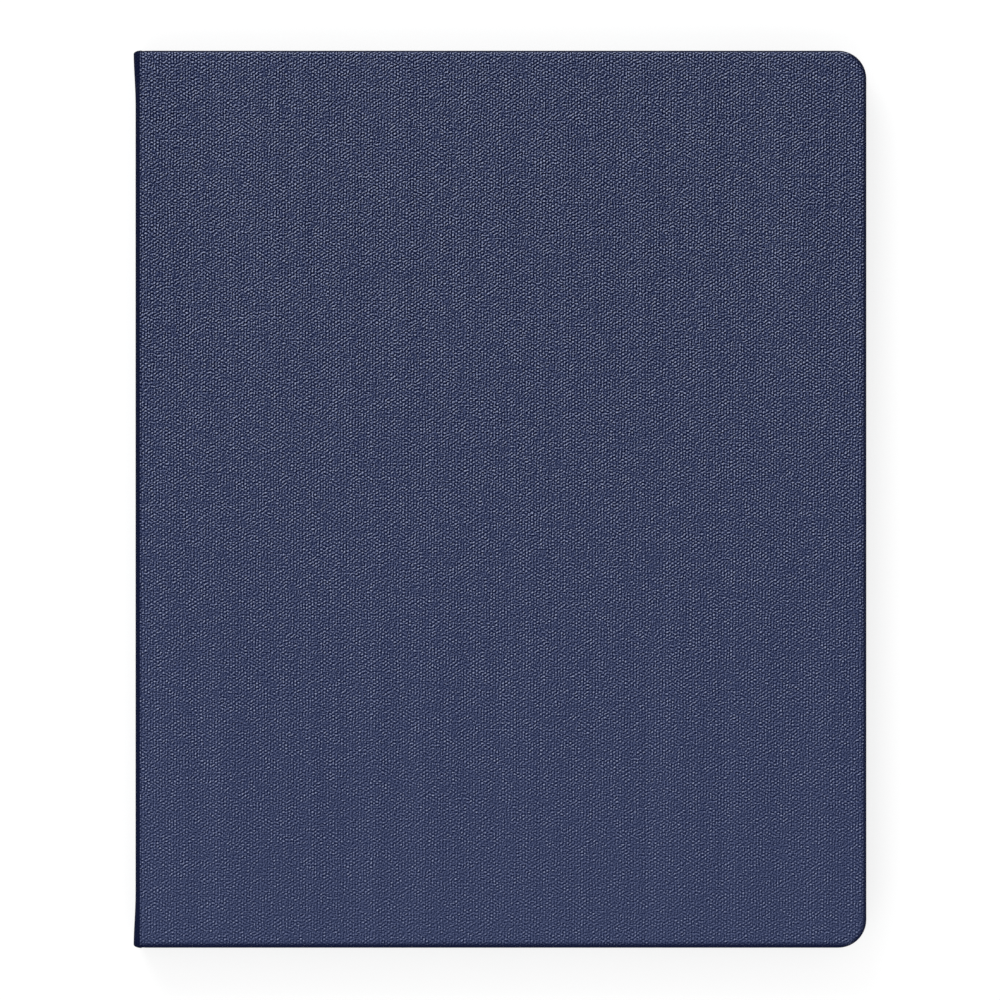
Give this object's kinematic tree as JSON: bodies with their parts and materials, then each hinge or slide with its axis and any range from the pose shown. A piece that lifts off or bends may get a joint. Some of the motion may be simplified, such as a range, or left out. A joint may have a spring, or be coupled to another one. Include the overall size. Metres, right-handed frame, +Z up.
{
  "type": "tablet keyboard case",
  "caption": "Closed book-style tablet case in grained dark blue leather, with a tray for the tablet, a kickstand, a folding spine and a keyboard deck with a trackpad.",
  "frame": {"origin": "middle of the closed case's outline, on the table under its back", "axes": "+X from the spine to the fore-edge, +Y along the spine, +Z up through the pictured cover"},
  "size_m": [0.1874, 0.23, 0.0177],
  "materials": {
    "pu_leather": "navy polyurethane leather with a fine woven-looking grain",
    "microfibre": "short brushed microfibre",
    "fibre_board": "glass-fibre stiffener sheet",
    "tray_plastic": "satin moulded plastic",
    "hinge_steel": "brushed stainless steel",
    "plate_aluminium": "plain sheet",
    "bezel_plastic": "fine matt moulding",
    "keycap_plastic": "matt moulding with plain legends",
    "film": "printed polyester film",
    "dome_rubber": "silicone",
    "circuit_board": "solder mask",
    "cell_pouch": "foil pouch",
    "magnet": "nickel plate",
    "bumper_rubber": "soft rubber",
    "port_steel": "stamped steel shell",
    "knob_plastic": "matt moulding",
    "trackpad_face": "satin hard face"
  },
  "bodies": {
    "back": {"tablet_tray": "tray_plastic", "tray_lining": "microfibre", "back_board": "fibre_board", "back_skin": "pu_leather", "hinge_fixed_leaves": "hinge_steel", "hinge_pins": "hinge_steel"},
    "kickstand": {"kickstand_board": "fibre_board", "kickstand_skin": "pu_leather", "hinge_moving_leaves": "hinge_steel"},
    "spine": {"spine_board": "fibre_board", "spine_skin": "pu_leather", "front_hinge_strip": "pu_leather", "rear_hinge_strip": "pu_leather"},
    "deck": {"deck_skin": "pu_leather", "deck_plate": "plate_aluminium", "deck_bezel": "bezel_plastic", "membrane_sheet": "film", "dome_sheet": "dome_rubber", "controller_board": "circuit_board", "battery_cell": "cell_pouch", "deck_magnets": "magnet", "screen_bumpers": "bumper_rubber", "charge_port": "port_steel"},
    "trackpad": {"trackpad": "trackpad_face", "trackpad_board": "circuit_board"},
    "power_switch": {"power_switch": "knob_plastic"},
    "key_q": {"key_q": "keycap_plastic"},
    "key_w": {"key_w": "keycap_plastic"},
    "key_e": {"key_e": "keycap_plastic"},
    "key_r": {"key_r": "keycap_plastic"},
    "key_t": {"key_t": "keycap_plastic"},
    "key_y": {"key_y": "keycap_plastic"},
    "key_u": {"key_u": "keycap_plastic"},
    "key_i": {"key_i": "keycap_plastic"},
    "key_o": {"key_o": "keycap_plastic"},
    "key_p": {"key_p": "keycap_plastic"},
    "key_a": {"key_a": "keycap_plastic"},
    "key_s": {"key_s": "keycap_plastic"},
    "key_d": {"key_d": "keycap_plastic"},
    "key_f": {"key_f": "keycap_plastic"},
    "key_g": {"key_g": "keycap_plastic"},
    "key_h": {"key_h": "keycap_plastic"},
    "key_j": {"key_j": "keycap_plastic"},
    "key_k": {"key_k": "keycap_plastic"},
    "key_l": {"key_l": "keycap_plastic"},
    "key_z": {"key_z": "keycap_plastic"},
    "key_x": {"key_x": "keycap_plastic"},
    "key_c": {"key_c": "keycap_plastic"},
    "key_v": {"key_v": "keycap_plastic"},
    "key_b": {"key_b": "keycap_plastic"},
    "key_n": {"key_n": "keycap_plastic"},
    "key_m": {"key_m": "keycap_plastic"},
    "key_space": {"key_space": "keycap_plastic"},
    "key_enter": {"key_enter": "keycap_plastic"},
    "key_backspace": {"key_backspace": "keycap_plastic"},
    "key_shift_left": {"key_shift_left": "keycap_plastic"},
    "number_keys": {"number_keys": "keycap_plastic"},
    "punctuation_keys": {"punctuation_keys": "keycap_plastic"},
    "modifier_keys": {"modifier_keys": "keycap_plastic"},
    "arrow_keys": {"arrow_keys": "keycap_plastic"}
  },
  "joints": [
    {"name": "cover_rear_fold", "type": "hinge", "parent": "back", "child": "spine", "pos_m": [-0.0921, 0, 0.0016], "axis": [0, -1, 0], "range_deg": [0, 90], "deforming": ["rear_hinge_strip"]},
    {"name": "cover_front_fold", "type": "hinge", "parent": "spine", "child": "deck", "pos_m": [-0.0921, 0, 0.0161], "axis": [0, -1, 0], "range_deg": [0, 90], "deforming": ["front_hinge_strip"]},
    {"name": "kickstand_hinge", "type": "hinge", "parent": "back", "child": "kickstand", "pos_m": [0.004, 0, 0.0012], "axis": [0, -1, 0], "range_deg": [0, 115]},
    {"name": "power_switch_slide", "type": "slide", "parent": "deck", "child": "power_switch", "axis": [1, 0, 0], "range_m": [0, 0.0025]},
    {"name": "trackpad_click", "type": "slide", "parent": "deck", "child": "trackpad", "axis": [0, 0, 1], "range_m": [0, 0.0004], "stiffness_N_per_m": 1500},
    {"name": "travel_key_q", "type": "slide", "parent": "deck", "child": "key_q", "axis": [0, 0, 1], "range_m": [0, 0.0012], "stiffness_N_per_m": 400, "deforming": ["dome_sheet"]},
    {"name": "travel_key_w", "type": "slide", "parent": "deck", "child": "key_w", "axis": [0, 0, 1], "range_m": [0, 0.0012], "stiffness_N_per_m": 400, "deforming": ["dome_sheet"]},
    {"name": "travel_key_e", "type": "slide", "parent": "deck", "child": "key_e", "axis": [0, 0, 1], "range_m": [0, 0.0012], "stiffness_N_per_m": 400, "deforming": ["dome_sheet"]},
    {"name": "travel_key_r", "type": "slide", "parent": "deck", "child": "key_r", "axis": [0, 0, 1], "range_m": [0, 0.0012], "stiffness_N_per_m": 400, "deforming": ["dome_sheet"]},
    {"name": "travel_key_t", "type": "slide", "parent": "deck", "child": "key_t", "axis": [0, 0, 1], "range_m": [0, 0.0012], "stiffness_N_per_m": 400, "deforming": ["dome_sheet"]},
    {"name": "travel_key_y", "type": "slide", "parent": "deck", "child": "key_y", "axis": [0, 0, 1], "range_m": [0, 0.0012], "stiffness_N_per_m": 400, "deforming": ["dome_sheet"]},
    {"name": "travel_key_u", "type": "slide", "parent": "deck", "child": "key_u", "axis": [0, 0, 1], "range_m": [0, 0.0012], "stiffness_N_per_m": 400, "deforming": ["dome_sheet"]},
    {"name": "travel_key_i", "type": "slide", "parent": "deck", "child": "key_i", "axis": [0, 0, 1], "range_m": [0, 0.0012], "stiffness_N_per_m": 400, "deforming": ["dome_sheet"]},
    {"name": "travel_key_o", "type": "slide", "parent": "deck", "child": "key_o", "axis": [0, 0, 1], "range_m": [0, 0.0012], "stiffness_N_per_m": 400, "deforming": ["dome_sheet"]},
    {"name": "travel_key_p", "type": "slide", "parent": "deck", "child": "key_p", "axis": [0, 0, 1], "range_m": [0, 0.0012], "stiffness_N_per_m": 400, "deforming": ["dome_sheet"]},
    {"name": "travel_key_a", "type": "slide", "parent": "deck", "child": "key_a", "axis": [0, 0, 1], "range_m": [0, 0.0012], "stiffness_N_per_m": 400, "deforming": ["dome_sheet"]},
    {"name": "travel_key_s", "type": "slide", "parent": "deck", "child": "key_s", "axis": [0, 0, 1], "range_m": [0, 0.0012], "stiffness_N_per_m": 400, "deforming": ["dome_sheet"]},
    {"name": "travel_key_d", "type": "slide", "parent": "deck", "child": "key_d", "axis": [0, 0, 1], "range_m": [0, 0.0012], "stiffness_N_per_m": 400, "deforming": ["dome_sheet"]},
    {"name": "travel_key_f", "type": "slide", "parent": "deck", "child": "key_f", "axis": [0, 0, 1], "range_m": [0, 0.0012], "stiffness_N_per_m": 400, "deforming": ["dome_sheet"]},
    {"name": "travel_key_g", "type": "slide", "parent": "deck", "child": "key_g", "axis": [0, 0, 1], "range_m": [0, 0.0012], "stiffness_N_per_m": 400, "deforming": ["dome_sheet"]},
    {"name": "travel_key_h", "type": "slide", "parent": "deck", "child": "key_h", "axis": [0, 0, 1], "range_m": [0, 0.0012], "stiffness_N_per_m": 400, "deforming": ["dome_sheet"]},
    {"name": "travel_key_j", "type": "slide", "parent": "deck", "child": "key_j", "axis": [0, 0, 1], "range_m": [0, 0.0012], "stiffness_N_per_m": 400, "deforming": ["dome_sheet"]},
    {"name": "travel_key_k", "type": "slide", "parent": "deck", "child": "key_k", "axis": [0, 0, 1], "range_m": [0, 0.0012], "stiffness_N_per_m": 400, "deforming": ["dome_sheet"]},
    {"name": "travel_key_l", "type": "slide", "parent": "deck", "child": "key_l", "axis": [0, 0, 1], "range_m": [0, 0.0012], "stiffness_N_per_m": 400, "deforming": ["dome_sheet"]},
    {"name": "travel_key_z", "type": "slide", "parent": "deck", "child": "key_z", "axis": [0, 0, 1], "range_m": [0, 0.0012], "stiffness_N_per_m": 400, "deforming": ["dome_sheet"]},
    {"name": "travel_key_x", "type": "slide", "parent": "deck", "child": "key_x", "axis": [0, 0, 1], "range_m": [0, 0.0012], "stiffness_N_per_m": 400, "deforming": ["dome_sheet"]},
    {"name": "travel_key_c", "type": "slide", "parent": "deck", "child": "key_c", "axis": [0, 0, 1], "range_m": [0, 0.0012], "stiffness_N_per_m": 400, "deforming": ["dome_sheet"]},
    {"name": "travel_key_v", "type": "slide", "parent": "deck", "child": "key_v", "axis": [0, 0, 1], "range_m": [0, 0.0012], "stiffness_N_per_m": 400, "deforming": ["dome_sheet"]},
    {"name": "travel_key_b", "type": "slide", "parent": "deck", "child": "key_b", "axis": [0, 0, 1], "range_m": [0, 0.0012], "stiffness_N_per_m": 400, "deforming": ["dome_sheet"]},
    {"name": "travel_key_n", "type": "slide", "parent": "deck", "child": "key_n", "axis": [0, 0, 1], "range_m": [0, 0.0012], "stiffness_N_per_m": 400, "deforming": ["dome_sheet"]},
    {"name": "travel_key_m", "type": "slide", "parent": "deck", "child": "key_m", "axis": [0, 0, 1], "range_m": [0, 0.0012], "stiffness_N_per_m": 400, "deforming": ["dome_sheet"]},
    {"name": "travel_key_space", "type": "slide", "parent": "deck", "child": "key_space", "axis": [0, 0, 1], "range_m": [0, 0.0012], "stiffness_N_per_m": 400, "deforming": ["dome_sheet"]},
    {"name": "travel_key_enter", "type": "slide", "parent": "deck", "child": "key_enter", "axis": [0, 0, 1], "range_m": [0, 0.0012], "stiffness_N_per_m": 400, "deforming": ["dome_sheet"]},
    {"name": "travel_key_backspace", "type": "slide", "parent": "deck", "child": "key_backspace", "axis": [0, 0, 1], "range_m": [0, 0.0012], "stiffness_N_per_m": 400, "deforming": ["dome_sheet"]},
    {"name": "travel_key_shift_left", "type": "slide", "parent": "deck", "child": "key_shift_left", "axis": [0, 0, 1], "range_m": [0, 0.0012], "stiffness_N_per_m": 400, "deforming": ["dome_sheet"]},
    {"name": "travel_number_keys", "type": "slide", "parent": "deck", "child": "number_keys", "axis": [0, 0, 1], "range_m": [0, 0.0012], "stiffness_N_per_m": 5200, "deforming": ["dome_sheet"]},
    {"name": "travel_punctuation_keys", "type": "slide", "parent": "deck", "child": "punctuation_keys", "axis": [0, 0, 1], "range_m": [0, 0.0012], "stiffness_N_per_m": 3200, "deforming": ["dome_sheet"]},
    {"name": "travel_modifier_keys", "type": "slide", "parent": "deck", "child": "modifier_keys", "axis": [0, 0, 1], "range_m": [0, 0.0012], "stiffness_N_per_m": 3600, "deforming": ["dome_sheet"]},
    {"name": "travel_arrow_keys", "type": "slide", "parent": "deck", "child": "arrow_keys", "axis": [0, 0, 1], "range_m": [0, 0.0012], "stiffness_N_per_m": 1600, "deforming": ["dome_sheet"]}
  ]
}
